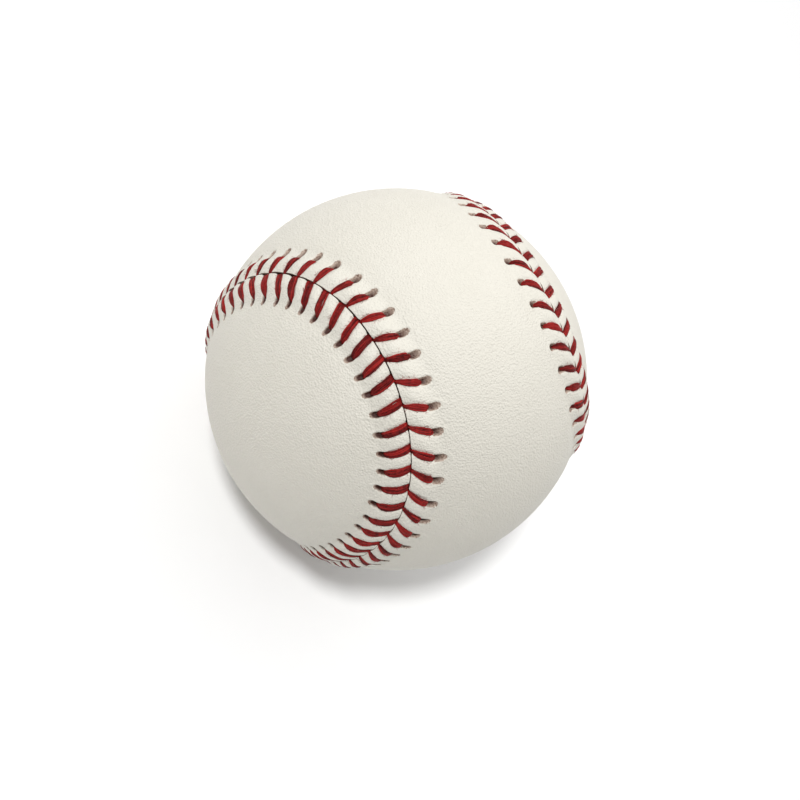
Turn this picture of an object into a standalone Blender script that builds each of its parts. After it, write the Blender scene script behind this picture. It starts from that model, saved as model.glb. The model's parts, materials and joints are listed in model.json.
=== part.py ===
"""Baseball, built up the way it is made.

A cork centre is moulded into two black rubber cups and two red ones, wound with four layers of
yarn, and covered with two figure-8 panels of leather. One thread on two needles laces the panels
together through 108 pairs of holes.

Frame: metres, +Z up, origin at the ball's centre. +Z passes through the waist of the upper panel,
whose two lobes reach down along +X and -X. -Z passes through the waist of the lower panel, whose
lobes reach up along +Y and -Y.
"""

import math

import bmesh
import bpy
import numpy as np
from mathutils import Vector

INCH = 0.0254

# Driving dimensions. The layers are given as a ball maker does, by the girth that each one reaches.
CORK_DIAMETER = 13 / 16 * INCH
BLACK_RUBBER_WALL = 5 / 32 * INCH
RED_RUBBER_WALL = 3 / 32 * INCH
FOUR_PLY_GREY_GIRTH = 7.75 * INCH
THREE_PLY_WHITE_GIRTH = 8.1875 * INCH
THREE_PLY_GREY_GIRTH = 8.75 * INCH
COTTON_GIRTH = 8.875 * INCH
LEATHER_THICKNESS = 0.0010
LAYER_GAP = 0.0002  # air between one layer and the next
COVER_GAP = 0.00035  # between the wound ball and the cover

GASKET_THICKNESS = 0.0008
PARTING_GAP = 0.0003  # between a cup's rim and what it closes on
YARN_OPENING = 0.0006  # radius of the gap that each winding leaves where its yarn dives in

STITCHES = 108
SEAM_RISE = 0.00055  # how far the laced edges stand above the rest of the cover
SEAM_GAP = 0.0011  # between the two leather edges
HOLE_OFFSET = 0.0049  # from the middle of the seam to the middle of a lacing hole
HOLE_SIZE = 0.0010
RISE_FOOT = 0.0085  # from the seam to where the cover is a plain sphere again
FIRST_STITCH = 0.0029  # from the lobe tip of the upper panel to the first stitch
EDGE_STRETCH = 0.064  # share by which sewing stretches the leather edge at a waist, and spares it between
STITCH_SLANT = 0.00145  # how far a stitch's hole is ahead of the place where it dives into the seam
SIDE_LEAD = 0.0011  # how far the upper panel's stitches are ahead of the lower panel's
THREAD_RADIUS = 0.0003
THREAD_OVER_GAP = 0.00012  # from the thread to the leather that it crosses
THREAD_UNDER_GAP = 0.00017  # from the thread to the wound ball under the cover

# The seam is a e^it - b e^-3it - c e^5it seen from above, with a height of -h cos 2t.
SEAM_FIRST, SEAM_THIRD, SEAM_FIFTH = 0.697, 0.303, -0.0142
SEAM_HEIGHT = 0.797
SEAM_WAISTS = 4  # places where the seam comes nearest to itself

SEGMENTS = 20  # round each turned layer
ARC_STEPS = 10  # from pole to pole
PATCH_POINTS = 72  # round the plain middle of a panel
PATCH_STEPS = 9  # across it

SHARP_ABOVE = math.radians(40)  # edges that turn more than this stay sharp

WHOLE_TURN = 2 * math.pi
SAME_POINT = 1e-6  # points closer than this are one


def radius_of(girth):
    return girth / WHOLE_TURN


CORK_RADIUS = CORK_DIAMETER / 2
BLACK_RUBBER_RADIUS = CORK_RADIUS + BLACK_RUBBER_WALL
RED_RUBBER_RADIUS = BLACK_RUBBER_RADIUS + RED_RUBBER_WALL
WOUND_RADIUS = radius_of(COTTON_GIRTH)
COVER_RADIUS = WOUND_RADIUS + COVER_GAP + LEATHER_THICKNESS
SEAM_TOP = COVER_RADIUS + SEAM_RISE
THREAD_OVER = SEAM_TOP + THREAD_OVER_GAP + THREAD_RADIUS
THREAD_UNDER = WOUND_RADIUS + THREAD_UNDER_GAP + THREAD_RADIUS


def clear_scene():
    for obj in list(bpy.data.objects):
        bpy.data.objects.remove(obj, do_unlink=True)


def material(name, colour, roughness):
    made = bpy.data.materials.new(name)
    made.use_nodes = True
    shader = made.node_tree.nodes["Principled BSDF"]
    shader.inputs["Base Color"].default_value = (*colour, 1.0)
    shader.inputs["Roughness"].default_value = roughness
    shader.inputs["Metallic"].default_value = 0.0
    made.diffuse_color = (*colour, 1.0)
    return made


def add_object(name, data, finish):
    obj = bpy.data.objects.new(name, data)
    bpy.context.scene.collection.objects.link(obj)
    data.materials.append(finish)
    return obj


def shade_round(mesh):
    mesh.shade_smooth()
    mesh.set_sharp_from_angle(angle=SHARP_ABOVE)


# Turned pieces: the cork, the rubber cups, the gasket and the windings.


def arc(radius, first, last):
    """Points (distance from Z, height) on an arc between two angles from +Z, in degrees.

    Between its ends an arc has the same steps on every layer, so that their flats lie parallel.
    """
    step = 180 / ARC_STEPS
    inner = [step * i for i in range(ARC_STEPS + 1) if first < step * i < last]
    angles = [math.radians(a) for a in (first, *inner, last)]
    return [(radius * math.sin(a), radius * math.cos(a)) for a in angles]


def turned(name, profile, finish, closed=False):
    """A solid made by turning a profile of (distance from Z, height) once round Z."""
    bm = bmesh.new()
    points = [bm.verts.new((max(out, 0.0), 0, up)) for out, up in profile]
    pairs = list(zip(points, points[1:]))
    if closed:
        pairs.append((points[-1], points[0]))
    edges = [bm.edges.new(pair) for pair in pairs]
    bmesh.ops.spin(
        bm,
        geom=points + edges,
        cent=(0, 0, 0),
        axis=(0, 0, 1),
        angle=WHOLE_TURN,
        steps=SEGMENTS,
    )
    bmesh.ops.remove_doubles(bm, verts=bm.verts, dist=SAME_POINT)
    bmesh.ops.dissolve_degenerate(bm, edges=bm.edges, dist=SAME_POINT)
    bmesh.ops.recalc_face_normals(bm, faces=bm.faces)
    mesh = bpy.data.meshes.new(name)
    bm.to_mesh(mesh)
    bm.free()
    shade_round(mesh)
    return add_object(name, mesh, finish)


def cork_centre(finish):
    return turned("cork_centre", arc(CORK_RADIUS, 0, 180), finish)


def rubber_cup(name, inner, outer, rim_height, finish, upside_down):
    """Half of a moulded rubber layer: a cup whose flat rim lies rim_height from the middle of the ball."""

    def wall(radius):
        return arc(radius, 0, math.degrees(math.acos(rim_height / radius)))

    cup = turned(name, wall(outer) + wall(inner)[::-1], finish)
    if upside_down:
        cup.rotation_euler.x = math.pi
    return cup


def rubber_gasket(inner, outer, finish):
    """The washer that seals the black cups where their rims meet. It follows both round walls."""
    half = GASKET_THICKNESS / 2
    profile = [(reach, side * half) for side, reach in ((1, outer), (-1, outer), (-1, inner), (1, inner))]
    return turned("rubber_gasket", profile, finish, closed=True)


def winding(name, inner, outer, finish, upside_down):
    """A layer of wound yarn, with one narrow opening at a pole where the yarn dives to the layer below."""

    def wall(radius):
        return arc(radius, math.degrees(math.asin(YARN_OPENING / radius)), 180)

    layer = turned(name, wall(outer)[::-1] + wall(inner), finish)
    if upside_down:
        layer.rotation_euler.x = math.pi
    return layer


# The seam, and the two leather panels that it divides the ball into.


class Seam:
    """The seam as a closed line on a sphere of the cover's radius, measured by length along it."""

    SAMPLES = 4320
    LOOK_AHEAD = 0.00018  # distance over which the seam's direction is taken

    def __init__(self):
        t = np.linspace(0, WHOLE_TURN, self.SAMPLES, endpoint=False)
        flat = (
            SEAM_FIRST * np.exp(1j * t)
            - SEAM_THIRD * np.exp(-3j * t)
            - SEAM_FIFTH * np.exp(5j * t)
        )
        line = np.stack([flat.real, flat.imag, -SEAM_HEIGHT * np.cos(2 * t)], axis=1)
        line /= np.linalg.norm(line, axis=1)[:, None]
        self.line = np.vstack([line, line[:1]])
        steps = np.linalg.norm(np.diff(self.line, axis=0), axis=1) * COVER_RADIUS
        self.distance = np.concatenate([[0], np.cumsum(steps)])
        self.length = float(self.distance[-1])
        self.pitch = self.length / STITCHES

    def direction(self, along):
        along = along % self.length
        return Vector([np.interp(along, self.distance, self.line[:, k]) for k in range(3)]).normalized()

    def point(self, along, aside, radius):
        """A point by length along the seam, distance aside (plus is the upper panel) and radius."""
        here = self.direction(along)
        forward = self.direction(along + self.LOOK_AHEAD) - self.direction(along - self.LOOK_AHEAD)
        sideways = here.cross(forward).normalized()
        angle = aside / COVER_RADIUS
        return (here * math.cos(angle) + sideways * math.sin(angle)) * radius

    def dive(self, stitch, side):
        """Where a stitch on this side goes down between the two panels."""
        along = FIRST_STITCH + stitch * self.pitch
        waists = SEAM_WAISTS * WHOLE_TURN / self.length
        stretched = along + EDGE_STRETCH / waists * math.sin(waists * along)
        return stretched + (SIDE_LEAD if side > 0 else 0)

    def hole(self, stitch, side):
        """Where the hole of that stitch is."""
        return self.dive(stitch, side) + STITCH_SLANT


def ring(bm, seam, side, places, aside, radius):
    """A closed ring along the seam, this far into the panel, as a list of (place, vertex)."""
    made = [(along, bm.verts.new(seam.point(along, side * aside, radius))) for along in places]
    for (_, vert), (_, following) in zip(made, made[1:] + made[:1]):
        bm.edges.new((vert, following))
    return made


def fill_between_holes(bm, near, far):
    """Quads between the rings that run along both sides of the holes. Every second one is a hole."""
    for i in range(1, len(near), 2):
        j = (i + 1) % len(near)
        bm.faces.new((near[i][1], near[j][1], far[j][1], far[i][1]))


def zip_rings(bm, seam, first, second):
    """Triangles between two rings, whatever the number of vertices in each."""
    start = first[0][0]

    def once_round(points):
        """The ring in order from the start, closed by its own first vertex."""
        ordered = sorted(((along - start) % seam.length, i) for i, (along, _) in enumerate(points))
        walk = [(along, points[i][1]) for along, i in ordered]
        return [*walk, (walk[0][0] + seam.length, walk[0][1])]

    one, other = once_round(first), once_round(second)
    i = j = 0
    while i < len(one) - 1 or j < len(other) - 1:
        along_one = j == len(other) - 1 or (i < len(one) - 1 and one[i + 1][0] <= other[j + 1][0])
        if along_one:
            bm.faces.new((one[i][1], one[i + 1][1], other[j][1]))
            i += 1
        else:
            bm.faces.new((one[i][1], other[j + 1][1], other[j][1]))
            j += 1


def middle_patch(bm, seam, side):
    """The plain middle of a panel: ribs from one flank to the other. Returns its outer ring."""
    lobe_tip = 0 if side > 0 else seam.length / 4
    places = [lobe_tip + seam.length * i / PATCH_POINTS for i in range(PATCH_POINTS)]
    outline = ring(bm, seam, side, places, RISE_FOOT, COVER_RADIUS)
    edge = [vert for _, vert in outline]
    half = PATCH_POINTS // 2
    ribs = [[edge[0]] * (PATCH_STEPS + 1)]
    for i in range(1, half):
        here, there = edge[i], edge[-i]
        between = [
            bm.verts.new(here.co.lerp(there.co, k / PATCH_STEPS).normalized() * COVER_RADIUS)
            for k in range(1, PATCH_STEPS)
        ]
        ribs.append([here, *between, there])
    ribs.append([edge[half]] * (PATCH_STEPS + 1))
    for rib, following in zip(ribs, ribs[1:]):
        for k in range(PATCH_STEPS):
            corners = [rib[k], rib[k + 1], following[k + 1], following[k]]
            bm.faces.new(list(dict.fromkeys(corners)))
    return outline


def cover_panel(name, seam, side, finish):
    """One leather panel: its laced edge stands up, and it has a row of holes along it."""
    bm = bmesh.new()
    holes = [seam.hole(k, side) for k in range(STITCHES)]
    hole_sides = [hole + half for hole in holes for half in (-HOLE_SIZE / 2, HOLE_SIZE / 2)]
    edge = ring(bm, seam, side, holes, SEAM_GAP / 2, SEAM_TOP)
    near = ring(bm, seam, side, hole_sides, HOLE_OFFSET - HOLE_SIZE / 2, SEAM_TOP)
    far = ring(bm, seam, side, hole_sides, HOLE_OFFSET + HOLE_SIZE / 2, SEAM_TOP)
    zip_rings(bm, seam, near, edge)
    fill_between_holes(bm, near, far)
    zip_rings(bm, seam, far, middle_patch(bm, seam, side))
    bmesh.ops.triangulate(bm, faces=bm.faces)
    bmesh.ops.recalc_face_normals(bm, faces=bm.faces)
    if sum(face.normal.dot(face.calc_center_median()) for face in bm.faces) < 0:
        bmesh.ops.reverse_faces(bm, faces=bm.faces)
    mesh = bpy.data.meshes.new(name)
    bm.to_mesh(mesh)
    bm.free()
    shade_round(mesh)
    panel = add_object(name, mesh, finish)
    wall = panel.modifiers.new("leather_thickness", "SOLIDIFY")
    wall.thickness = LEATHER_THICKNESS
    wall.offset = -1
    return panel


# The thread. Each needle's stitches are on the upper and the lower panel in turn.


def seam_thread(name, seam, first_side, finish):
    """One needle's run: up through a hole, over the edge, down the seam, and under to the other panel."""
    route = []
    side = first_side
    for stitch in range(STITCHES):
        hole = seam.hole(stitch, side)
        dive = seam.dive(stitch, side)
        aside = side * HOLE_OFFSET
        route += [
            seam.point(hole, aside, THREAD_UNDER),
            seam.point(hole, aside, THREAD_OVER),
            seam.point(dive, 0, THREAD_OVER),
            seam.point(dive, 0, THREAD_UNDER),
        ]
        side = -side
    curve = bpy.data.curves.new(name, "CURVE")
    curve.dimensions = "3D"
    curve.bevel_depth = THREAD_RADIUS
    curve.bevel_resolution = 0
    curve.use_fill_caps = True
    spline = curve.splines.new("POLY")
    spline.points.add(len(route) - 1)
    for point, place in zip(spline.points, route):
        point.co = (*place, 1.0)
    return add_object(name, curve, finish)


def main():
    clear_scene()
    cork = material("composition_cork", (0.43, 0.27, 0.15), 0.9)
    black_rubber = material("black_rubber", (0.03, 0.03, 0.03), 0.6)
    red_rubber = material("red_rubber", (0.42, 0.06, 0.04), 0.6)
    grey_wool = material("grey_wool", (0.34, 0.33, 0.32), 0.95)
    white_wool = material("white_wool", (0.78, 0.76, 0.70), 0.95)
    white_cotton = material("white_cotton", (0.86, 0.85, 0.81), 0.9)
    leather = material("white_leather", (0.80, 0.77, 0.69), 0.5)
    red_thread = material("red_waxed_thread", (0.40, 0.02, 0.03), 0.6)

    cork_centre(cork)
    black_inner = CORK_RADIUS + LAYER_GAP
    black_rim = GASKET_THICKNESS / 2 + PARTING_GAP
    red_inner = BLACK_RUBBER_RADIUS + LAYER_GAP
    for where, upside_down in (("top", False), ("bottom", True)):
        rubber_cup(
            f"black_rubber_cup_{where}",
            black_inner,
            BLACK_RUBBER_RADIUS,
            black_rim,
            black_rubber,
            upside_down,
        )
        rubber_cup(
            f"red_rubber_cup_{where}",
            red_inner,
            RED_RUBBER_RADIUS,
            PARTING_GAP / 2,
            red_rubber,
            upside_down,
        )
    rubber_gasket(black_inner, BLACK_RUBBER_RADIUS, red_rubber)

    inner = RED_RUBBER_RADIUS + LAYER_GAP
    upside_down = False
    for name, girth, yarn in (
        ("four_ply_grey_winding", FOUR_PLY_GREY_GIRTH, grey_wool),
        ("three_ply_white_winding", THREE_PLY_WHITE_GIRTH, white_wool),
        ("three_ply_grey_winding", THREE_PLY_GREY_GIRTH, grey_wool),
        ("cotton_finishing_winding", COTTON_GIRTH, white_cotton),
    ):
        outer = radius_of(girth)
        winding(name, inner, outer, yarn, upside_down)
        inner = outer + LAYER_GAP
        upside_down = not upside_down

    seam = Seam()
    cover_panel("cover_panel_upper", seam, 1, leather)
    cover_panel("cover_panel_lower", seam, -1, leather)
    seam_thread("seam_thread_first_needle", seam, 1, red_thread)
    seam_thread("seam_thread_second_needle", seam, -1, red_thread)
    print(f"seam {seam.length * 1000:.1f} mm, a stitch every {seam.pitch * 1000:.2f} mm")


main()
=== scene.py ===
# %% [markdown]
# # A baseball, stitch by stitch
#
# A baseball is a wound ball inside a laced leather jacket. The jacket is two figure-8 panels of white
# leather. Two needles carry one red thread through a row of holes along each panel's edge, and pull
# the edges together over the yarn. Most of what the eye reads as "baseball" is made by that pull: the
# raised welt, the pillows of leather between the stitches, and the open end of each hole.
#
# The frame holds the plain shapes. This file makes the leather, the thread and every finish.

# %% Load the frame
import json
import math

import bpy
import numpy as np
from mathutils import Matrix, Vector


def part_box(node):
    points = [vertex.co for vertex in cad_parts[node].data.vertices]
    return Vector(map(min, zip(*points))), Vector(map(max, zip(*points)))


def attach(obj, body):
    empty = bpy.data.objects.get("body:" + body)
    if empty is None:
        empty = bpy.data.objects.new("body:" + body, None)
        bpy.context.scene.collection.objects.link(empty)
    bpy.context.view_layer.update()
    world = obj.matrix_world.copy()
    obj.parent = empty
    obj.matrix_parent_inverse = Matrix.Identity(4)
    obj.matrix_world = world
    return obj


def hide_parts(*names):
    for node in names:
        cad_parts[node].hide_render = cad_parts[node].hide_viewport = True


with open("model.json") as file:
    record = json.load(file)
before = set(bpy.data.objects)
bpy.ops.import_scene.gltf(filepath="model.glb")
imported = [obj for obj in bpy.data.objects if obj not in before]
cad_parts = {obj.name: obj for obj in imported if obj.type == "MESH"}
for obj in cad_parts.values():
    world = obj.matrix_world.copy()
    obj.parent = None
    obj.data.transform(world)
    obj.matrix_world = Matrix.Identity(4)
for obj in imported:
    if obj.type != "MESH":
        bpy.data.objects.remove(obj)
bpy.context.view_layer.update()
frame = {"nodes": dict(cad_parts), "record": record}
for obj in bpy.context.selected_objects:
    obj.select_set(False)

MM = 0.001
rest_point = next(m for m in frame["record"]["mounts"] if m["name"] == "rest_point")
BALL = -rest_point["pos_m"][2] / MM  # radius of the leather away from the seam, in millimetres
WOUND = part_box("cotton_finishing_winding")[1].z / MM  # radius of the wound ball under the leather
print(f"leather radius {BALL:.2f} mm, wound ball radius {WOUND:.2f} mm")

# %% [markdown]
# ## The camera
#
# The view is from above, over the waist of the upper panel, with the ball turned so that one seam
# curls round the left and the other runs down the right edge. The camera is set by three directions
# at right angles: towards the viewer, up the picture, and across it.

# %% Camera
CAMERA_DISTANCE = 5.556 * BALL * MM
LENS_MM = 47.0
LENS_SHIFT = (0.0050, -0.0259)  # across and up, as shares of the picture's width
towards_viewer = Vector((0.0898, -0.4490, 0.8890)).normalized()
up_picture = Vector((-0.8853, 0.3719, 0.2780))
across_picture = up_picture.cross(towards_viewer).normalized()
up_picture = towards_viewer.cross(across_picture)

bpy.ops.object.camera_add()
camera = bpy.context.object
camera.name = "camera"
camera.data.lens = LENS_MM
camera.data.shift_x, camera.data.shift_y = LENS_SHIFT
turn = Matrix((across_picture, up_picture, towards_viewer)).transposed()
camera.matrix_world = Matrix.Translation(towards_viewer * CAMERA_DISTANCE) @ turn.to_4x4()
bpy.context.scene.camera = camera
print(f"camera {CAMERA_DISTANCE / MM:.0f} mm from the ball's centre")

# %% [markdown]
# ## The seam
#
# The seam is one closed line that divides the ball into two equal figure-8 panels. It could be drawn
# by hand on a sphere, but a maker cuts both panels with one die, so a formula is truer: a sum of three
# turning arrows seen from above, whose height rises and falls twice. Everything on the cover is then
# placed by how far along the seam it is, how far aside, and how high above the leather.

# %% The seam line, and a way to place points by it
STITCHES = 108
SEAM_FIRST, SEAM_THIRD, SEAM_FIFTH = 0.697, 0.303, -0.0142
SEAM_HEIGHT = 0.797
SEAM_SAMPLES = 8640

turns = np.linspace(0, 2 * np.pi, SEAM_SAMPLES, endpoint=False)
from_above = (
    SEAM_FIRST * np.exp(1j * turns)
    - SEAM_THIRD * np.exp(-3j * turns)
    - SEAM_FIFTH * np.exp(5j * turns)
)
seam_line = np.stack([from_above.real, from_above.imag, -SEAM_HEIGHT * np.cos(2 * turns)], axis=1)
seam_line /= np.linalg.norm(seam_line, axis=1)[:, None]
seam_forward = np.roll(seam_line, -1, axis=0) - np.roll(seam_line, 1, axis=0)
seam_forward /= np.linalg.norm(seam_forward, axis=1)[:, None]
seam_aside = np.cross(seam_line, seam_forward)
seam_steps = np.linalg.norm(np.roll(seam_line, -1, axis=0) - seam_line, axis=1) * BALL
seam_distance = np.concatenate([[0], np.cumsum(seam_steps)])
SEAM_LENGTH = seam_distance[-1]
PITCH = SEAM_LENGTH / STITCHES


def along_seam(values, along):
    """Unit vectors of one of the seam's own directions, at these lengths along it."""
    closed = np.vstack([values, values[:1]])
    found = [np.interp(along % SEAM_LENGTH, seam_distance, closed[:, axis]) for axis in range(3)]
    found = np.stack(found, axis=-1)
    return found / np.linalg.norm(found, axis=-1)[..., None]


def on_ball(along, aside, height):
    """Points, in metres, from lengths in millimetres: along the seam, aside, and above the leather."""
    angle = (aside / BALL)[..., None]
    direction = along_seam(seam_line, along) * np.cos(angle) + along_seam(seam_aside, along) * np.sin(angle)
    return direction * (BALL + height)[..., None] * MM


print(f"seam {SEAM_LENGTH:.1f} mm long, one stitch every {PITCH:.2f} mm")

# %% [markdown]
# ## Where the stitches are
#
# The holes are punched evenly, but lacing stretches the leather edge round each waist, so the stitches
# open up there and crowd between. A stitch doesn't cross the edge squarely: it leans, so that its hole
# is ahead of the place where it dives into the seam, most of that lean coming near the seam. The lean
# grows and shrinks as the ball is turned in the lacer's vise, and the upper panel's stitches are a
# little ahead of the lower panel's. No hand-laced seam is perfectly even, so each stitch gets its own
# small error from a seeded generator.

# %% Stitch layout
UPPER, LOWER = 1, -1
FIRST_STITCH = 2.9  # from the tip of the upper panel's lobe
WAISTS = 4  # how many times the seam passes a waist
EDGE_STRETCH = 0.064  # share by which lacing stretches the edge at a waist, and spares it between
SIDE_LEAD = {UPPER: 0.72, LOWER: 0.0}  # how far ahead each panel's stitches are
# Places along the seam, each with how far ahead the holes lie there, both in millimetres.
LEAN = {
    UPPER: ((0, 2.3), (90, 2.6), (112, 2.8), (190, 1.6), (270, 1.15), (306, 1.4), (320, 2.4), (350, 2.6)),
    LOWER: ((0, 1.9), (140, 1.4), (275, 1.8), (292, 1.2), (316, 1.3), (332, 2.4), (352, 2.6)),
}
BEND_POWER = 1.35  # above 1, a stitch does most of its leaning near the seam
HOOK = {UPPER: 0.10, LOWER: 0.25}  # how far the outer end of a hole turns back
HOOK_START, HOOK_PEAK, HOOK_END = 4.0, 6.2, 8.6
HOLE_SHADE = {UPPER: 0.6, LOWER: 1.0}  # how dark the painted shade deep in the holes is
REACH = {UPPER: -0.42, LOWER: 0.0}  # how much further out a stitch ends than the thread's list says
HOLE_MIDDLE = 4.75  # from the seam to the middle of a hole
HAND_ERROR = 0.11  # typical error in a stitch's place, and in its lean
WIDTH_ERROR = 0.05  # as a share of the width
REACH_ERROR = 0.10  # in how far out a hole goes

rng = np.random.default_rng(108)
place_error = {side: rng.normal(0, HAND_ERROR, STITCHES) for side in (UPPER, LOWER)}
slant_error = {side: rng.normal(0, HAND_ERROR, STITCHES) for side in (UPPER, LOWER)}
width_error = {side: rng.normal(0, WIDTH_ERROR, STITCHES) for side in (UPPER, LOWER)}
reach_error = {side: rng.normal(0, REACH_ERROR, STITCHES) for side in (UPPER, LOWER)}
gap_error = {side: rng.random(STITCHES) for side in (UPPER, LOWER)}


def between_stitches(errors, stitch):
    """The errors of single stitches, blended between one stitch and the next."""
    whole = np.arange(-1, STITCHES + 1)
    return np.interp(stitch % STITCHES, whole, errors[whole % STITCHES])


def smooth(low, high, value):
    """0 below low, 1 above high, and an S-shaped rise between."""
    share = np.clip((value - low) / (high - low), 0, 1)
    return share * share * (3 - 2 * share)


def stitch_path(stitch, aside, side):
    """How far along the seam this stitch is when it is this far aside."""
    even = FIRST_STITCH + stitch * PITCH
    waists = WAISTS * 2 * np.pi / SEAM_LENGTH
    stretched = even + EDGE_STRETCH / waists * np.sin(waists * even)
    places, leans = np.array(LEAN[side]).T
    lean = np.interp(stretched, places, leans, period=SEAM_LENGTH)
    lean = lean + between_stitches(slant_error[side], stitch)
    bend = 1 - (1 - np.clip(aside / HOLE_MIDDLE, 0, 1)) ** BEND_POWER
    hook = HOOK[side] * smooth(HOOK_START, HOOK_PEAK, aside) * (1 - smooth(HOOK_PEAK, HOOK_END, aside))
    return stretched + SIDE_LEAD[side] + between_stitches(place_error[side], stitch) + lean * bend - hook


# %% [markdown]
# ## The shape of the leather
#
# One could sculpt 216 stitches by hand. It is quicker, and truer to a machine-cut cover, to say what
# each pull does to the leather and to add it up: a broad welt along the seam, a pillow between two
# stitches, a groove under each one, a hole that slopes down towards the thread with a soft lip round
# its outer end, and an edge that rolls down into the seam.

# %% Heights on a panel
SEAM_RISE = 0.40  # where the two edges meet
CREST_RISE = 0.66  # beside the seam, where the border is highest
CREST, BORDER_FOOT = 1.9, 5.6
VALLEY = 0.13  # depth of the valley that the thread's pull makes along the holes
VALLEY_WIDTH = 1.35
BORDER_END = 9.0
PILLOW = 0.22  # height of the leather halfway between two stitches
GROOVE = 0.24  # how far the thread presses the leather down
GROOVE_INSIDE, GROOVE_OUTSIDE = 0.22, 0.14  # where its side starts and ends, from the thread's edge
THREAD_HALF_WIDTH = {UPPER: 0.79, LOWER: 0.85}
SEAM_HALF_WIDTH = {UPPER: 0.44, LOWER: 0.86}  # of the thread where it dives into the seam
HOLE_PINCH = 0.18  # share of its width that the thread loses at its hole
LEATHER = 1.0  # thickness
EDGE_GAP = 0.02  # from the middle of the seam to the leather's edge
EDGE_ROLL = 0.13  # radius of the rolled edge
EDGE_PULL = 0.16  # how far a stitch pulls the edge back
CUT_EDGE_AND_SHADE_END = 0.085  # how far from the middle of the seam the leather is darkened: the bare cut edge, and painted shade where it rolls into the seam
SLACKEST = 262  # where the lacing is slackest, in millimetres along the seam
GAPE = 0.17  # how far the edge can stand off where the lacing is slackest
GAPE_POWER = 8  # higher keeps the gape closer to the slackest place

HOLE_DEPTH = 0.80
HOLE_NEAR, HOLE_FAR = 1.35, 1.25  # from its middle to its ends
HOLE_HALF_WIDTH = {UPPER: 0.56, LOWER: 0.66}
HOLE_TAPER = 0.12  # share by which the outer end is narrower
HOLE_BLUNTNESS = 2.6  # 2 would make an oval, and more a rectangle with round corners
HOLE_SHUT = 0.65  # how much shorter the holes are where the lacing is tightest
OUTER_RAMP = 0.78  # share of its depth that a hole loses at the outer end
LIP = 0.12  # height of the soft lip round the outer end of a hole

# Places in a hole, as shares of the way from its middle to its edge.
HOLE_FLOOR_END = 0.58
# where the painted shade deep in a hole starts to fade towards its edge
HOLE_SHADE_CORE = 0.5
BARE_START, BARE_END = 0.92, 1.06  # where the dressed surface takes over
LIP_PLACE, LIP_WIDTH = 1.28, 0.2

# Where something grows or fades, from and to, in millimetres from the seam.
THREAD_WIDENS = (0.1, 2.1)
THREAD_NARROWS = (3.2, 4.1)
GROOVE_FADES = (3.4, 4.4)
PILLOW_FADES = (1.6, 5.6)
HOLE_RISES = (4.2, 5.8)
HOLE_NARROWS = (4.8, 6.0)
LIP_GROWS = (4.3, 5.0)
# the painted shade deep in the holes fades out here
HOLE_SHADE_FADES = (4.4, 6.7)
PULL_FADES = (0.2, 1.4)


def slackness(along):
    """1 where the lacing is slackest, falling to 0 on the opposite side of the seam."""
    return 0.5 + 0.5 * np.cos(2 * np.pi * (along - SLACKEST) / SEAM_LENGTH)


def welt(aside):
    """Height of the laced border, without its pillows."""
    ridge = SEAM_RISE + (CREST_RISE - SEAM_RISE) * smooth(0, CREST, aside)
    valley = VALLEY * np.exp(-(((aside - BORDER_FOOT) / VALLEY_WIDTH) ** 2))
    return ridge * (1 - smooth(CREST, BORDER_FOOT, aside)) - valley


def stitch_half_width(aside, side):
    """Half the width of the flattened thread: pinched at its hole, and in the seam on the upper panel."""
    full, at_seam = THREAD_HALF_WIDTH[side], SEAM_HALF_WIDTH[side]
    widened = at_seam + (full - at_seam) * smooth(*THREAD_WIDENS, aside)
    return widened * (1 - HOLE_PINCH * smooth(*THREAD_NARROWS, aside))


def hole_away(across, aside, stitch, side):
    """How far a place is from the middle of its hole, as a share of the hole's size."""
    tight = 1 - slackness(stitch * PITCH)
    far = HOLE_FAR + between_stitches(reach_error[side], stitch) - HOLE_SHUT * tight
    reach = np.where(aside < HOLE_MIDDLE, HOLE_NEAR, far)
    half_width = HOLE_HALF_WIDTH[side] * (1 - HOLE_TAPER * smooth(*HOLE_NARROWS, aside))
    sideways, lengthways = np.abs(across / half_width), np.abs((aside - HOLE_MIDDLE) / reach)
    return (sideways**HOLE_BLUNTNESS + lengthways**HOLE_BLUNTNESS) ** (1 / HOLE_BLUNTNESS)


def leather_relief(stitch, aside, side):
    """Height above the plain ball, and how far this place is in a hole, in the painted shade deep in one,
    and in a groove.
    """
    across = (stitch - np.round(stitch)) * PITCH
    half_width = stitch_half_width(aside, side) * (1 + between_stitches(width_error[side], stitch))
    groove_side = half_width - GROOVE_INSIDE, half_width + GROOVE_OUTSIDE
    under_thread = 1 - smooth(*groove_side, np.abs(across))
    groove = GROOVE * under_thread * (1 - smooth(*GROOVE_FADES, aside))
    pillow = PILLOW * np.sin(np.pi * across / PITCH) ** 2 * (1 - smooth(*PILLOW_FADES, aside))
    away = hole_away(across, aside, stitch, side)
    ramp = 1 - OUTER_RAMP * smooth(*HOLE_RISES, aside)
    depth = HOLE_DEPTH * ramp * (1 - smooth(HOLE_FLOOR_END, 1.0, away))
    lip = LIP * np.exp(-(((away - LIP_PLACE) / LIP_WIDTH) ** 2)) * smooth(*LIP_GROWS, aside)
    hole = 1 - smooth(BARE_START, BARE_END, away)
    # Painted shade: the hole is darkened towards the thread's end, where shade falls deep in it.
    inner_end = 1 - smooth(*HOLE_SHADE_FADES, aside - REACH[side])
    hole_shade = inner_end * (1 - smooth(HOLE_SHADE_CORE, 1.0, away)) * HOLE_SHADE[side]
    return welt(aside) + pillow - groove - depth + lip, hole, hole_shade, under_thread


# %% [markdown]
# ## Cutting the panels
#
# Each panel starts as flat grids, as leather starts as a flat sheet. A grid's vertices are moved to
# their place on the ball, its columns following the stitches so that the grooves stay crisp. A grid
# made with the Grid primitive keeps a tidy UV map, and merging by distance closes it into a ring.
# The panel is four such sheets: the laced border, the plain middle, and the same two underneath.

# %% Tools for shaping a sheet
MERGE_DISTANCE = 0.001 * MM


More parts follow.
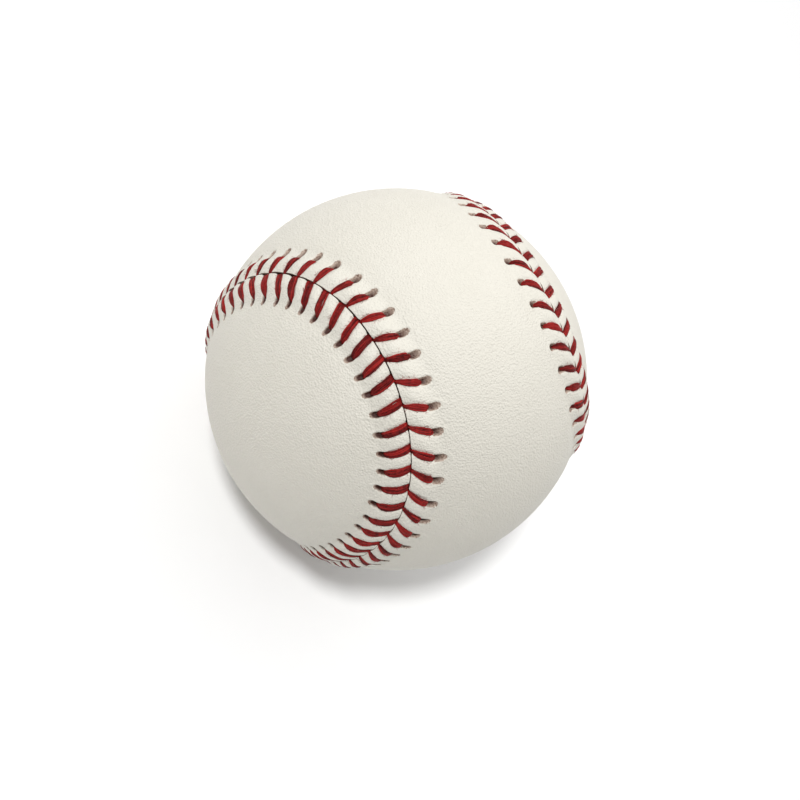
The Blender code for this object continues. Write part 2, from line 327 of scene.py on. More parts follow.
def sheet_of(name, columns, rows, place):
    """A grid whose vertices are moved to place(u, v), where u and v run from 0 to 1."""
    bpy.ops.mesh.primitive_grid_add(x_subdivisions=columns, y_subdivisions=rows, size=1)
    made = bpy.context.object
    made.name = name
    made.data.name = name
    flat = np.empty(len(made.data.vertices) * 3, np.float32)
    made.data.vertices.foreach_get("co", flat)
    flat = flat.reshape(-1, 3).astype(float)
    points, values = place(flat[:, 0] + 0.5, flat[:, 1] + 0.5)
    made.data.vertices.foreach_set("co", points.astype(np.float32).ravel())
    for key, value in values.items():
        attribute = made.data.attributes.new(key, "FLOAT", "POINT")
        attribute.data.foreach_set("value", value.astype(np.float32))
    made.data.update()
    return made


def joined(name, parts):
    """One object from several, with the vertices that lie together merged and its faces outwards."""
    bpy.ops.object.select_all(action="DESELECT")
    for part in parts:
        part.select_set(True)
    bpy.context.view_layer.objects.active = parts[0]
    bpy.ops.object.join()
    made = bpy.context.object
    made.name = name
    made.data.name = name
    bpy.ops.object.mode_set(mode="EDIT")
    bpy.ops.mesh.select_all(action="SELECT")
    bpy.ops.mesh.remove_doubles(threshold=MERGE_DISTANCE)
    bpy.ops.mesh.fill_holes(sides=0)
    bpy.ops.mesh.normals_make_consistent(inside=False)
    bpy.ops.object.mode_set(mode="OBJECT")
    bpy.ops.object.shade_smooth()
    made.select_set(False)
    triangles = sum(len(face.vertices) - 2 for face in made.data.polygons)
    print(f"{name}: {triangles} triangles")
    return made


# %% The laced border of a panel
STITCH_COLUMNS = 16
COLUMNS = STITCHES * STITCH_COLUMNS
COLUMN_CROWDING = 0.07  # crowds the columns towards each stitch
MIDDLE_STEPS = 20
UNDER_STEPS = 6

# Rows of vertices, by their distance from the seam: down the rolled edge, then out over the border,
# closest together across the holes.
ROLL_ROWS = 6
roll_angles = np.radians(np.linspace(0, 90, ROLL_ROWS))
roll_aside = EDGE_GAP + EDGE_ROLL * (1 - np.cos(roll_angles))
roll_drop = EDGE_ROLL * (1 - np.sin(roll_angles))
run_aside = np.concatenate([np.arange(0.75, 3.7, 0.36), np.arange(3.8, 6.2, 0.17), [6.5, 7.0, 7.6, 8.3]])
BORDER_ASIDE = np.concatenate([[EDGE_GAP], roll_aside, run_aside, [BORDER_END]])
BORDER_DROP = np.concatenate([[LEATHER], roll_drop, np.zeros(len(run_aside) + 1)])
BORDER_RELIEF = np.where(BORDER_DROP == LEATHER, 0.0, 1.0)
UNDER_ASIDE = np.array([EDGE_GAP, 2.5, 5.0, 7.0, BORDER_END])


def column_stitch(column):
    """Which stitch a column belongs to, as a number that runs on between one stitch and the next."""
    even = column / STITCH_COLUMNS
    return even - COLUMN_CROWDING * np.sin(2 * np.pi * even)


def plain_values(count, raw):
    """The attributes of leather that has no hole and no edge in it."""
    return {"raw": np.full(count, raw), "hole_shade": np.zeros(count), "cut_edge_and_shade": np.zeros(count)}


def border(side, column, row):
    """Points of the outer face of the laced border."""
    stitch = column_stitch(column)
    aside, drop, relief = BORDER_ASIDE[row], BORDER_DROP[row], BORDER_RELIEF[row]
    height, hole, hole_shade, under_thread = leather_relief(stitch, aside, side)
    height = welt(aside) + (height - welt(aside)) * relief - drop
    along = stitch_path(stitch, aside, side)
    gape = GAPE * slackness(along) ** GAPE_POWER * between_stitches(gap_error[side], stitch)
    stand_off = EDGE_PULL * under_thread + gape
    pulled = aside + stand_off * relief * (1 - smooth(*PULL_FADES, aside))
    # The bare cut edge, and painted shade where the edge rolls down into the seam.
    cut_edge_and_shade = 1 - smooth(EDGE_GAP, CUT_EDGE_AND_SHADE_END, aside)
    values = {"raw": hole * relief, "hole_shade": hole_shade * relief, "cut_edge_and_shade": cut_edge_and_shade}
    return on_ball(along, side * pulled, height), values


def border_under(side, column, row):
    """Points of the inner face of the border, which the thread passes beneath."""
    stitch = column_stitch(column)
    aside = UNDER_ASIDE[row]
    along = stitch_path(stitch, aside, side)
    height = welt(aside) - LEATHER
    return on_ball(along, side * aside, height), plain_values(len(row), 1.0)


def tip_column(side):
    """The border's column nearest to the tip of one lobe, where the ribs of the middle start."""
    tip = 0 if side == UPPER else SEAM_LENGTH / 4
    along = stitch_path(column_stitch(np.arange(COLUMNS)), np.full(COLUMNS, BORDER_END), side)
    away = (along - tip + SEAM_LENGTH / 2) % SEAM_LENGTH - SEAM_LENGTH / 2
    return int(np.abs(away).argmin())


def ribs(side, edge, rib, share):
    """Points on ribs from one flank of a panel to the other. edge(column) gives the ends."""
    start = tip_column(side)
    here = edge((start + rib) % COLUMNS)
    there = edge((start - rib) % COLUMNS)
    radius = np.linalg.norm(here, axis=1)
    one, other = here / radius[:, None], there / np.linalg.norm(there, axis=1)[:, None]
    angle = np.arccos(np.clip((one * other).sum(axis=1), -1, 1))
    safe = np.maximum(np.sin(angle), 1e-9)
    first = np.where(angle < 1e-6, 1 - share, np.sin((1 - share) * angle) / safe)
    second = np.where(angle < 1e-6, share, np.sin(share * angle) / safe)
    points = one * first[:, None] + other * second[:, None]
    points /= np.linalg.norm(points, axis=1)[:, None]
    return points * radius[:, None]


# %% Make both panels
def border_sheet(name, side, face, rows):
    def place(u, v):
        column = np.round(u * COLUMNS).astype(int) % COLUMNS
        row = np.round(v * (rows - 1)).astype(int)
        return face(side, column, row)

    return sheet_of(name, COLUMNS, rows - 1, place)


def middle_sheet(name, side, face, rows, steps, raw):
    def edge(column):
        return face(side, column, np.full(len(column), rows - 1))[0]

    def place(u, v):
        rib = np.round(u * COLUMNS / 2).astype(int)
        points = ribs(side, edge, rib, v)
        return points, plain_values(len(u), raw)

    return sheet_of(name, COLUMNS // 2, steps, place)


def leather_panel(name, side):
    outside, inside = len(BORDER_ASIDE), len(UNDER_ASIDE)
    parts = [
        border_sheet("border", side, border, outside),
        middle_sheet("middle", side, border, outside, MIDDLE_STEPS, 0.0),
        border_sheet("border_under", side, border_under, inside),
        middle_sheet("middle_under", side, border_under, inside, UNDER_STEPS, 1.0),
    ]
    return joined(name, parts)


panels = {
    UPPER: leather_panel("leather_panel_upper", UPPER),
    LOWER: leather_panel("leather_panel_lower", LOWER),
}

# %% [markdown]
# ## The thread
#
# The thread is several waxed cotton plies that flatten into a band where they are pulled over the
# leather. Each needle comes up through a hole, crosses the edge, dives into the seam and runs under the
# other panel to that side's next hole, so its stitches lie on the two panels in turn. A bevelled curve
# would give a round cord, so each ply is a grid rolled into a tube instead: its plies spread over the
# leather, and gather again in the hole and in the seam.

# %% One needle's route
PLIES = 5
PLY_SIDES = 6
PLY_HALF_WIDTH = 0.175
PLY_HALF_HEIGHT = 0.19
UNDER_HEIGHT = -0.90
BAND_LIFT = 0.17  # from the floor of the groove to the middle of the band
REACH_GROWS = (2.2, 3.9)  # where a stitch takes up its panel's own reach, in millimetres from the seam
GATHERED = 0.62  # share of its width that the thread keeps in the hole and in the seam
UNDER_HALF_WIDTH = 0.34  # where it runs under the leather

# Aside, height above the groove's floor, and whether that height counts from the plain ball instead.
LEG_STATIONS = (
    (4.34, UNDER_HEIGHT, True),
    (4.28, -0.55, True),
    (4.14, -0.30, False),
    (3.88, BAND_LIFT - 0.14, False),
    (3.48, BAND_LIFT, False),
    (3.00, BAND_LIFT + 0.03, False),
    (2.50, BAND_LIFT + 0.03, False),
    (1.90, BAND_LIFT + 0.02, False),
    (1.30, BAND_LIFT, False),
    (0.80, BAND_LIFT - 0.02, False),
    (0.42, BAND_LIFT - 0.08, False),
    (0.16, BAND_LIFT - 0.34, False),
    (0.08, -0.30, True),
    (0.06, UNDER_HEIGHT, True),
)
UNDER_STATIONS = 2
STATIONS = len(LEG_STATIONS) + UNDER_STATIONS


def needle_route(first_side):
    """Along, aside, height and half width at every station of one needle's run."""
    listed = np.array([station[0] for station in LEG_STATIONS])
    lift = np.array([station[1] for station in LEG_STATIONS])
    from_ball = np.array([station[2] for station in LEG_STATIONS])
    rows = []
    for stitch in range(STITCHES):
        side = first_side if stitch % 2 == 0 else -first_side
        aside = listed + REACH[side] * smooth(*REACH_GROWS, listed)
        height = np.where(from_ball, lift, welt(aside) - GROOVE + lift)
        wide = stitch_half_width(aside, side) * (1 + width_error[side][stitch])
        gathered = np.where(from_ball, GATHERED, 1.0)
        along = stitch_path(np.full(len(aside), float(stitch)), aside, side)
        rows += list(zip(along, side * aside, height, wide * gathered))
        next_hole = aside[:1] + REACH[-side] - REACH[side]
        ahead = stitch_path(np.array([stitch + 1.0]), next_hole, -side)[0]
        for step in range(1, UNDER_STATIONS + 1):
            share = step / (UNDER_STATIONS + 1)
            under_aside = side * aside[-1] * (1 - share) - side * next_hole[0] * share
            under_along = along[-1] * (1 - share) + ahead * share
            rows.append((under_along, under_aside, UNDER_HEIGHT, UNDER_HALF_WIDTH))
    return np.array(rows)


# %% One ply of the thread
# How far a ply strays sideways and in height, over how many stations, and how far on the next ply's
# wave is, as a share of a wave.
WANDER, WANDER_STATIONS, WANDER_SHIFT = 0.06, 9, 0.37
STACK, STACK_STATIONS, STACK_SHIFT = 0.075, 7, 0.61
CROWN = 0.07  # how much higher the middle of the band lies than its edges


def unit(vectors):
    """The same vectors, each with a length of 1."""
    return vectors / np.maximum(np.linalg.norm(vectors, axis=-1), 1e-12)[..., None]


def ply_sheet(name, route, ply, seed):
    """One ply: a tube that follows the route at its own place across the band."""
    own = np.random.default_rng(seed)
    count = len(route)
    along, aside, height, half_width = route.T
    spread = (ply + 0.5) / PLIES * 2 - 1
    station = np.arange(count)
    phase = np.repeat(own.uniform(0, 1, count // STATIONS), STATIONS)
    wander = WANDER * np.sin(2 * np.pi * (station / WANDER_STATIONS + phase + ply * WANDER_SHIFT))
    stack = STACK * np.sin(2 * np.pi * (station / STACK_STATIONS + phase * 2 + ply * STACK_SHIFT))
    faded = np.repeat(own.uniform(0, 1, count // STATIONS), STATIONS)
    middle = on_ball(along, aside, height) / MM
    tangent = unit(np.gradient(middle, axis=0))
    forward = along_seam(seam_forward, along)
    across = unit(forward - (forward * tangent).sum(axis=1)[:, None] * tangent)
    outward = np.cross(tangent, across)
    facing = np.sign((outward * middle).sum(axis=1))
    facing[facing == 0] = 1
    crown = CROWN * (1 - spread**2)
    offset = spread * (half_width - PLY_HALF_WIDTH) + wander
    centre = middle + across * offset[:, None] + outward * ((stack + crown) * facing)[:, None]

    def place(u, v):
        index = np.round(u * (count - 1)).astype(int)
        angle = 2 * np.pi * np.round(v * PLY_SIDES) / PLY_SIDES
        ring = across[index] * (PLY_HALF_WIDTH * np.cos(angle))[:, None]
        ring += outward[index] * (PLY_HALF_HEIGHT * np.sin(angle))[:, None]
        return (centre[index] + ring) * MM, {"faded": faded[index]}

    return sheet_of(name, count - 1, PLY_SIDES, place)


# %% [markdown]
# ### Loose fibres
#
# Cotton thread is hairy, and dragging it through leather raises more hair. A particle system could
# grow it, but a dozen bent hairs on each stitch, as thin three-sided tubes, cost less and stay put.

# %% Hairs on the thread
HAIRS_PER_STITCH = 12
HAIR_RADIUS = 0.022
HAIR_TAPER = 0.6  # share of its radius that a hair loses by its tip
HAIR_STATIONS = 5
HAIR_SIDES = 3
HAIR_ROOTS = (0.3, 3.6)  # from the seam
HAIR_EDGE = (0.75, 1.0)  # how near the thread's edge a hair starts, as a share of the half width
HAIR_SHORTEST, HAIR_LONGER = 0.1, 0.65  # about how far it reaches sideways: at least, and how much more
HAIR_DRIFT = 0.6  # how far it may stray along the thread
HAIR_LIFT = 0.1  # above the middle of the band
HAIR_CURL = (0.05, 0.25)
HAIR_CURL_TURN = 0.8  # share of a half wave that the curl goes through
LONGEST_FACE = 1.2 * MM  # well over the length of any face of a hair


def hair_sheet(name, first_side, seed):
    """All the hairs of one needle's run, end to end in one grid whose joining faces are removed."""
    own = np.random.default_rng(seed)
    count = STITCHES * HAIRS_PER_STITCH
    stitch = np.repeat(np.arange(STITCHES), HAIRS_PER_STITCH)
    side = np.where(stitch % 2 == 0, first_side, -first_side)
    root = own.uniform(*HAIR_ROOTS, count)
    edge = own.choice([-1, 1], count) * own.uniform(*HAIR_EDGE, count)
    step = np.linspace(0, 1, HAIR_STATIONS)
    reach = HAIR_SHORTEST + HAIR_LONGER * own.uniform(0, 1, count) ** 3
    drift = own.uniform(-HAIR_DRIFT, HAIR_DRIFT, count)
    curl = own.uniform(*HAIR_CURL, count)
    lines = np.empty((count, HAIR_STATIONS, 3))
    for one in (UPPER, LOWER):
        of_side = side == one
        aside = root[of_side, None] + drift[of_side, None] * step
        start = stitch_path(stitch[of_side].astype(float), root[of_side], one)
        wide = stitch_half_width(root[of_side], one)
        sideways = edge[of_side, None] * (wide[:, None] + reach[of_side, None] * step)
        base = (welt(root[of_side]) - GROOVE + BAND_LIFT)[:, None]
        height = base + HAIR_LIFT + curl[of_side, None] * np.sin(np.pi * step * HAIR_CURL_TURN)
        lines[of_side] = on_ball(start[:, None] + sideways, one * aside, height)

    def place(u, v):
        index = np.round(u * (count * HAIR_STATIONS - 1)).astype(int)
        hair, station = index // HAIR_STATIONS, index % HAIR_STATIONS
        angle = 2 * np.pi * np.round(v * HAIR_SIDES) / HAIR_SIDES
        centre = lines[hair, station]
        radial = unit(centre)
        ahead = lines[hair, np.minimum(station + 1, HAIR_STATIONS - 1)]
        behind = lines[hair, np.maximum(station - 1, 0)]
        across = unit(np.cross(unit(ahead - behind), radial))
        thin = HAIR_RADIUS * MM * (1 - HAIR_TAPER * station / (HAIR_STATIONS - 1))
        ring = across * (thin * np.cos(angle))[:, None] + radial * (thin * np.sin(angle))[:, None]
        return centre + ring, {"faded": np.ones(len(u))}

    made = sheet_of(name, count * HAIR_STATIONS - 1, HAIR_SIDES, place)
    cut_between_hairs(made)
    return made


def cut_between_hairs(made):
    """Deletes the long faces from the tip of one hair to the root of the next. Short ones pass for hair."""
    bpy.ops.object.select_all(action="DESELECT")
    made.select_set(True)
    bpy.context.view_layer.objects.active = made
    bpy.ops.object.mode_set(mode="EDIT")
    bpy.ops.mesh.select_all(action="DESELECT")
    bpy.ops.object.mode_set(mode="OBJECT")
    vertices = made.data.vertices
    for face in made.data.polygons:
        corners = [vertices[i].co for i in face.vertices]
        face.select = (corners[0] - corners[2]).length > LONGEST_FACE
    bpy.ops.object.mode_set(mode="EDIT")
    bpy.ops.mesh.delete(type="FACE")
    bpy.ops.object.mode_set(mode="OBJECT")


# %% Make both threads
def laced_thread(name, first_side, seed):
    route = needle_route(first_side)
    parts = [ply_sheet(f"ply_{ply}", route, ply, seed + ply) for ply in range(PLIES)]
    parts.append(hair_sheet("hairs", first_side, seed + 50))
    return joined(name, parts)


threads = {
    UPPER: laced_thread("laced_thread_first_needle", UPPER, 300),
    LOWER: laced_thread("laced_thread_second_needle", LOWER, 400),
}

# %% [markdown]
# ## Finishes
#
# Every finish is built from nodes, on the object's own coordinates or on the thread's UV map, so that
# it has no seams and keeps its real size. One function adds a node with its settings and links.

# %% Node helper and colours
def add_node(material, kind, links=None, **settings):
    """Adds a node. links maps an input to a value or to another node's output."""
    made = material.node_tree.nodes.new(kind)
    for key, value in settings.items():
        setattr(made, key, value)
    for key, value in (links or {}).items():
        if isinstance(value, bpy.types.NodeSocket):
            material.node_tree.links.new(value, made.inputs[key])
        else:
            made.inputs[key].default_value = value
    return made


def colour(hex_code):
    """An sRGB hex colour as linear RGBA."""
    parts = [int(hex_code[i : i + 2], 16) / 255 for i in (0, 2, 4)]
    linear = [c / 12.92 if c <= 0.04045 else ((c + 0.055) / 1.055) ** 2.4 for c in parts]
    return (*linear, 1.0)


def new_material(name):
    """A material with only its Principled BSDF and output."""
    made = bpy.data.materials.new(name)
    made.use_nodes = True
    return made, made.node_tree.nodes["Principled BSDF"]


def per_mm(size):
    """The Scale of a texture whose features are this many millimetres across."""
    return 1 / (size * MM)


# %% [markdown]
# ### White leather
#
# Alum-tawed cowhide, milky rather than pure white, with a fine pebbled grain under a thin dressing that
# gives it a soft sheen. The grain is a little over a third of a millimetre across. Inside the punched
# holes and along the cut edge the leather is bare and brown. The deep end of each hole, and the edge
# where it rolls into the seam, are darkened further with painted shade.

# %% White leather
# Widths of each pattern, and how high its bumps stand, in millimetres.
PEBBLE_SIZE, PEBBLE_BUMP = 0.36, 0.12
GRAIN_SIZE, GRAIN_BUMP = 0.38, 0.07
UNEVEN_SIZE, UNEVEN_BUMP = 6, 0.15
BLOTCH_SIZE, TORN_SIZE = 9, 0.35
RAGGEDNESS = 1.2  # how much the torn pattern breaks up the edge of the painted shade in a hole
# where the painted shade in a hole begins, and where it is full
HOLE_SHADE_START, HOLE_SHADE_FULL = 0.76, 1.2


def white_leather():
    made, shader = new_material("tawed_cowhide_white")
    place = add_node(made, "ShaderNodeTexCoord").outputs["Object"]
    pebble = add_node(
        made,
        "ShaderNodeTexVoronoi",
        {"Vector": place, "Scale": per_mm(PEBBLE_SIZE), "Smoothness": 0.45, "Randomness": 0.95},
        feature="SMOOTH_F1",
    ).outputs["Distance"]
    grain = add_node(
        made,
        "ShaderNodeTexNoise",
        {"Vector": place, "Scale": per_mm(GRAIN_SIZE), "Detail": 3.0, "Roughness": 0.6},
    ).outputs["Fac"]
    blotch = add_node(
        made, "ShaderNodeTexNoise", {"Vector": place, "Scale": per_mm(BLOTCH_SIZE), "Detail": 3.0}
    ).outputs["Fac"]
    uneven = add_node(
        made, "ShaderNodeTexNoise", {"Vector": place, "Scale": per_mm(UNEVEN_SIZE)}
    ).outputs["Fac"]
    torn = add_node(
        made,
        "ShaderNodeTexNoise",
        {"Vector": place, "Scale": per_mm(TORN_SIZE), "Detail": 3.0, "Roughness": 0.6},
    ).outputs["Fac"]
    streak = add_node(made, "ShaderNodeMapRange", {0: torn, 1: 0.36, 2: 0.64}).outputs[0]
    raw = add_node(made, "ShaderNodeAttribute", attribute_name="raw").outputs["Fac"]
    hole_shade = add_node(made, "ShaderNodeAttribute", attribute_name="hole_shade").outputs["Fac"]
    cut_edge_and_shade = add_node(made, "ShaderNodeAttribute", attribute_name="cut_edge_and_shade").outputs["Fac"]

    dressed = add_node(
        made,
        "ShaderNodeMix",
        {0: blotch, 6: colour("E4E0D4"), 7: colour("EAE6DB")},
        data_type="RGBA",
    ).outputs[2]
    fleshy = add_node(
        made,
        "ShaderNodeMix",
        {0: streak, 6: colour("7E6456"), 7: colour("D6C3B3")},
        data_type="RGBA",
    ).outputs[2]
    ragged = add_node(
        made, "ShaderNodeMath", {0: torn, 1: RAGGEDNESS, 2: hole_shade}, operation="MULTIPLY_ADD"
    ).outputs[0]
    far_in = add_node(
        made, "ShaderNodeMapRange", {0: ragged, 1: HOLE_SHADE_START, 2: HOLE_SHADE_FULL}
    ).outputs[0]
    # Painted shade: the deep end of each hole is darkened towards 421C12.
    hole_shaded = add_node(
        made, "ShaderNodeMix", {0: far_in, 6: fleshy, 7: colour("421C12")}, data_type="RGBA"
    ).outputs[2]
    # The bare cut edge, and painted shade where the edge rolls into the seam, towards 7E6A5C.
    cut_edge_and_shade_tone = add_node(
        made, "ShaderNodeMix", {0: cut_edge_and_shade, 6: dressed, 7: colour("7E6A5C")}, data_type="RGBA"
    ).outputs[2]
    bare = add_node(made, "ShaderNodeMapRange", {0: raw, 1: 0.18, 2: 0.7}).outputs[0]
    finish = add_node(made, "ShaderNodeMix", {0: bare, 6: cut_edge_and_shade_tone, 7: hole_shaded}, data_type="RGBA").outputs[2]

    low = add_node(
        made, "ShaderNodeBump", {"Strength": 0.4, "Distance": UNEVEN_BUMP * MM, "Height": uneven}
    )
    pebbled = add_node(
        made,
        "ShaderNodeBump",
        {"Strength": 1.0, "Distance": PEBBLE_BUMP * MM, "Height": pebble, "Normal": low.outputs[0]},
    )
    fine = add_node(
        made,
        "ShaderNodeBump",
        {"Strength": 1.0, "Distance": GRAIN_BUMP * MM, "Height": grain, "Normal": pebbled.outputs[0]},
    )
    gloss = add_node(made, "ShaderNodeMapRange", {0: grain, 3: 0.46, 4: 0.62}).outputs[0]
    links = made.node_tree.links
    links.new(finish, shader.inputs["Base Color"])
    links.new(gloss, shader.inputs["Roughness"])
    links.new(fine.outputs[0], shader.inputs["Normal"])
    shader.inputs["Specular IOR Level"].default_value = 0.4
    return made


# %% [markdown]
# ### Waxed red thread
#
# Dyed cotton, dragged through wax. The dye took more deeply on some stitches than on others, and the
# hair that stands up is palest. The fibres run lengthwise, so the pattern is stretched along the
# thread's UV map.

# %% Red thread
THREAD_PER_STITCH = 14.0  # millimetres, roughly, as is the girth of a ply
PLY_GIRTH = 1.05
FIBRES_ALONG, FIBRES_ROUND = 0.9, 9  # in a millimetre, so the pattern is ten times as long as wide
PATCH_SIZE = 0.4
FIBRE_BUMP = 0.10


def red_thread():
    made, shader = new_material("waxed_cotton_red")
    place = add_node(made, "ShaderNodeTexCoord")
    in_mm = add_node(
        made,
        "ShaderNodeMapping",
        {"Vector": place.outputs["UV"], "Scale": (STITCHES * THREAD_PER_STITCH, PLY_GIRTH, 1)},
    ).outputs[0]
    lengthwise = add_node(
        made, "ShaderNodeMapping", {"Vector": in_mm, "Scale": (FIBRES_ALONG, FIBRES_ROUND, 1)}
    ).outputs[0]
    fibre = add_node(
        made, "ShaderNodeTexNoise", {"Vector": lengthwise, "Scale": 1.0, "Detail": 4.0, "Roughness": 0.65}
    ).outputs["Fac"]
    patch = add_node(
        made,
        "ShaderNodeTexNoise",
        {"Vector": place.outputs["Object"], "Scale": per_mm(PATCH_SIZE), "Detail": 3.0},
    ).outputs["Fac"]
    faded = add_node(made, "ShaderNodeAttribute", attribute_name="faded").outputs["Fac"]
    mottled = add_node(made, "ShaderNodeMix", {0: 0.3, 2: fibre, 3: patch}, data_type="FLOAT").outputs[0]
    both = add_node(made, "ShaderNodeMix", {0: 0.22, 2: mottled, 3: faded}, data_type="FLOAT").outputs[0]
    share = add_node(made, "ShaderNodeMapRange", {0: both, 1: 0.34, 2: 0.66}).outputs[0]
    dyed = add_node(
        made, "ShaderNodeMix", {0: share, 6: colour("380407"), 7: colour("B22A26")}, data_type="RGBA"
    ).outputs[2]
    raised = add_node(
        made, "ShaderNodeBump", {"Strength": 0.9, "Distance": FIBRE_BUMP * MM, "Height": fibre}
    )
    links = made.node_tree.links
    links.new(dyed, shader.inputs["Base Color"])
    links.new(raised.outputs[0], shader.inputs["Normal"])
    shader.inputs["Roughness"].default_value = 0.62
    shader.inputs["Specular IOR Level"].default_value = 0.18
    shader.inputs["Sheen Weight"].default_value = 0.05
    shader.inputs["Sheen Tint"].default_value = colour("C8504A")
    return made


# %% [markdown]
# ### What is inside
#
# Nothing inside shows on a whole ball, yet each layer keeps its own finish, for anyone who opens it up:
# bands of yarn wound in two directions, moulded rubber, and pressed crumbs of cork.

# %% Yarn, rubber and cork
WINDING_TILTS = (0.4, 1.9)  # of the two directions that the yarn is wound in, in radians
WINDING_PATCH = 12  # millimetres across the patches where one direction lies over the other
YARN_BUMP = 0.3
MOTTLE_SIZE, MOTTLE_BUMP = 1.5, 0.05
CRUMB_SIZE, CRUMB_BUMP = 1.5, 0.2
WAVE_TURN = 20  # radians that a wave texture with a Scale of 1 turns through in one metre


def wound_yarn(name, dark, light, strand):
    """Yarn wound in crossing bands. strand is one strand's thickness in millimetres.

    The wave turns one radian in each strand's width, so a band is about six strands wide.
    """
    made, shader = new_material(name)
    place = add_node(made, "ShaderNodeTexCoord").outputs["Object"]
    heights = []
    for tilt in WINDING_TILTS:
        turned = add_node(
            made, "ShaderNodeMapping", {"Vector": place, "Rotation": (tilt, tilt * 0.7, 0)}
        ).outputs[0]
        wave = add_node(
            made,
            "ShaderNodeTexWave",
            {"Vector": turned, "Scale": per_mm(strand) / WAVE_TURN, "Distortion": 1.2, "Detail": 2.0},
            bands_direction="Z",
        )
        heights.append(wave.outputs["Fac"])
    choose = add_node(
        made, "ShaderNodeTexNoise", {"Vector": place, "Scale": per_mm(WINDING_PATCH)}
    ).outputs["Fac"]
    over = add_node(made, "ShaderNodeMapRange", {0: choose, 1: 0.48, 2: 0.52}).outputs[0]
    strands = add_node(
        made, "ShaderNodeMix", {0: over, 2: heights[0], 3: heights[1]}, data_type="FLOAT"
    ).outputs[0]
    tone = add_node(
        made, "ShaderNodeMix", {0: strands, 6: colour(dark), 7: colour(light)}, data_type="RGBA"
    ).outputs[2]
    raised = add_node(
        made, "ShaderNodeBump", {"Strength": 0.8, "Distance": YARN_BUMP * MM, "Height": strands}
    )
    made.node_tree.links.new(tone, shader.inputs["Base Color"])
    made.node_tree.links.new(raised.outputs[0], shader.inputs["Normal"])
    shader.inputs["Roughness"].default_value = 0.95
    shader.inputs["Sheen Weight"].default_value = 0.3
    return made


def moulded_rubber(name, dark, light):
    """Rubber as it leaves the mould: matte, faintly mottled with filler and mould release."""
    made, shader = new_material(name)
    place = add_node(made, "ShaderNodeTexCoord").outputs["Object"]
    mottle = add_node(
        made, "ShaderNodeTexNoise", {"Vector": place, "Scale": per_mm(MOTTLE_SIZE), "Detail": 5.0}
    ).outputs["Fac"]
    tone = add_node(
        made, "ShaderNodeMix", {0: mottle, 6: colour(dark), 7: colour(light)}, data_type="RGBA"
    ).outputs[2]
    raised = add_node(
        made, "ShaderNodeBump", {"Strength": 0.3, "Distance": MOTTLE_BUMP * MM, "Height": mottle}
    )
    made.node_tree.links.new(tone, shader.inputs["Base Color"])
    made.node_tree.links.new(raised.outputs[0], shader.inputs["Normal"])
    shader.inputs["Roughness"].default_value = 0.65
    return made


def composition_cork():
    """Crumbs of cork about 1.5 mm across, pressed together with rubber."""
    made, shader = new_material("composition_cork_pressed")
    place = add_node(made, "ShaderNodeTexCoord").outputs["Object"]
    crumbs = add_node(made, "ShaderNodeTexVoronoi", {"Vector": place, "Scale": per_mm(CRUMB_SIZE)})
    tint = add_node(made, "ShaderNodeSeparateColor", {0: crumbs.outputs["Color"]}).outputs[0]
    tone = add_node(
        made, "ShaderNodeMix", {0: tint, 6: colour("5A3A22"), 7: colour("B98E5E")}, data_type="RGBA"
    ).outputs[2]
    raised = add_node(
        made,
        "ShaderNodeBump",
        {"Strength": 0.6, "Distance": CRUMB_BUMP * MM, "Height": crumbs.outputs["Distance"]},
    )
    made.node_tree.links.new(tone, shader.inputs["Base Color"])
    made.node_tree.links.new(raised.outputs[0], shader.inputs["Normal"])
    shader.inputs["Roughness"].default_value = 0.9
    return made


# %% Put the finishes on
leather = white_leather()
thread = red_thread()
red_rubber = moulded_rubber("moulded_rubber_red", "5E1512", "85251E")
black_rubber = moulded_rubber("moulded_rubber_black", "121212", "242322")
grey_wool = wound_yarn("wool_yarn_grey", "4A4745", "8B8783", 1.1)
INNER_FINISHES = {
    "cork_centre": composition_cork(),
    "black_rubber_cup_top": black_rubber,
    "black_rubber_cup_bottom": black_rubber,
    "rubber_gasket": red_rubber,
    "red_rubber_cup_top": red_rubber,
    "red_rubber_cup_bottom": red_rubber,
    "four_ply_grey_winding": grey_wool,
    "three_ply_white_winding": wound_yarn("wool_yarn_white", "B9B2A2", "E9E4D6", 0.9),
    "three_ply_grey_winding": grey_wool,
    "cotton_finishing_winding": wound_yarn("cotton_yarn_white", "CFC9BA", "F2EEE4", 0.5),
}
for node_name, finish in INNER_FINISHES.items():
    frame["nodes"][node_name].data.materials.clear()
    frame["nodes"][node_name].data.materials.append(finish)
for side, half in ((UPPER, "upper"), (LOWER, "lower")):
    panels[side].data.materials.append(leather)
    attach(panels[side], "root")
    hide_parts(f"cover_panel_{half}")
for side, needle in ((UPPER, "first"), (LOWER, "second")):
    threads[side].data.materials.append(thread)
    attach(threads[side], "root")
    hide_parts(f"seam_thread_{needle}_needle")

# %% [markdown]
# ## Floor and light
#
# Uncoated white paper, rolled flat and left matte, under one round lamp a little above the viewer's line
# of sight. A dome that is brighter on one side fills in the shadows. Both are placed by the camera's own
# directions, so the lamp's shadow falls a little below the ball in the picture.

# %% Floor
FLOOR_SIZE = 6
FLOOR_GAP = 0.0002  # air under the ball
PAPER_GLOW = 0.06  # light that the paper would pick up from a whole studio

bpy.ops.mesh.primitive_plane_add(size=FLOOR_SIZE, location=(0, 0, -BALL * MM - FLOOR_GAP))
floor = bpy.context.object
floor.name = "floor"
paper, paper_shader = new_material("matte_white_paper")
paper_shader.inputs["Base Color"].default_value = colour("FAFAFA")
paper_shader.inputs["Roughness"].default_value = 0.9
paper_shader.inputs["Specular IOR Level"].default_value = 0.0
paper_shader.inputs["Emission Color"].default_value = (1, 1, 1, 1)
paper_shader.inputs["Emission Strength"].default_value = PAPER_GLOW
floor.data.materials.append(paper)


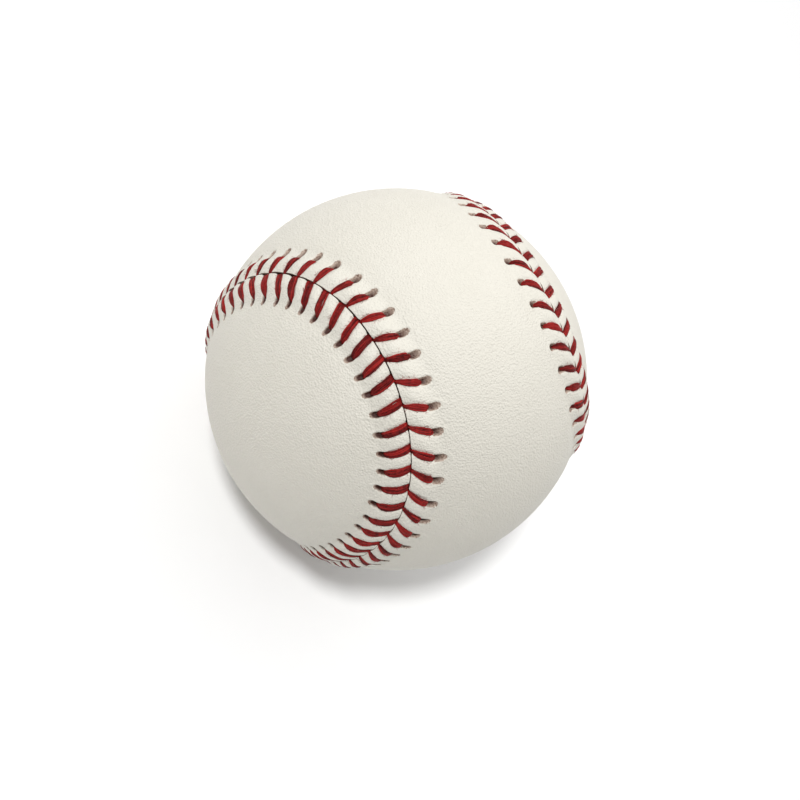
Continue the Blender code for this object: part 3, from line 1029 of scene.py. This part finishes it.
# %% Lights
def direction_in_picture(tilt, swing):
    """A direction tilted this far from the viewer's, swung this far from up the picture (degrees)."""
    tilt, swing = math.radians(tilt), math.radians(swing)
    in_plane = up_picture * math.cos(swing) + across_picture * math.sin(swing)
    return towards_viewer * math.cos(tilt) + in_plane * math.sin(tilt)


KEY_TILT, KEY_SWING = 17, 13
KEY_DISTANCE = 1.0
KEY_SIZE = 0.14  # across, in metres as the distance is
KEY_WATTS = 6.25
DOME_TILT, DOME_SWING = 79, 46
DOME_STRENGTH = 1.13  # on its bright side

key_direction = direction_in_picture(KEY_TILT, KEY_SWING)
bpy.ops.object.light_add(type="AREA", location=key_direction * KEY_DISTANCE)
key_lamp = bpy.context.object
key_lamp.name = "key_lamp"
key_lamp.rotation_euler = key_direction.to_track_quat("Z", "Y").to_euler()
key_lamp.data.shape = "DISK"
key_lamp.data.size = KEY_SIZE
key_lamp.data.energy = KEY_WATTS

# The dome: brightest in one direction, and fading evenly to nothing at right angles to it. Whoever
# looks straight at it sees plain white paper all round, as behind the ball in a studio.
dome = bpy.data.worlds.new("studio_dome")
bpy.context.scene.world = dome
dome.use_nodes = True
dome_nodes = dome.node_tree.nodes
seen_direction = dome_nodes.new("ShaderNodeTexCoord")
towards_bright_side = dome_nodes.new("ShaderNodeVectorMath")
towards_bright_side.operation = "DOT_PRODUCT"
towards_bright_side.inputs[1].default_value = direction_in_picture(DOME_TILT, DOME_SWING)
dome_brightness = dome_nodes.new("ShaderNodeMapRange")
dome_brightness.inputs["To Max"].default_value = DOME_STRENGTH
dome_nodes["Background"].inputs["Color"].default_value = (1, 1, 1, 1)
seen_straight = dome_nodes.new("ShaderNodeLightPath")
brighter_of_both = dome_nodes.new("ShaderNodeMath")
brighter_of_both.operation = "MAXIMUM"
dome_links = dome.node_tree.links
dome_links.new(seen_direction.outputs["Generated"], towards_bright_side.inputs[0])
dome_links.new(towards_bright_side.outputs["Value"], dome_brightness.inputs["Value"])
dome_links.new(dome_brightness.outputs["Result"], brighter_of_both.inputs[0])
dome_links.new(seen_straight.outputs["Is Camera Ray"], brighter_of_both.inputs[1])
dome_links.new(brighter_of_both.outputs["Value"], dome_nodes["Background"].inputs["Strength"])
bpy.context.scene.view_settings.view_transform = "Standard"
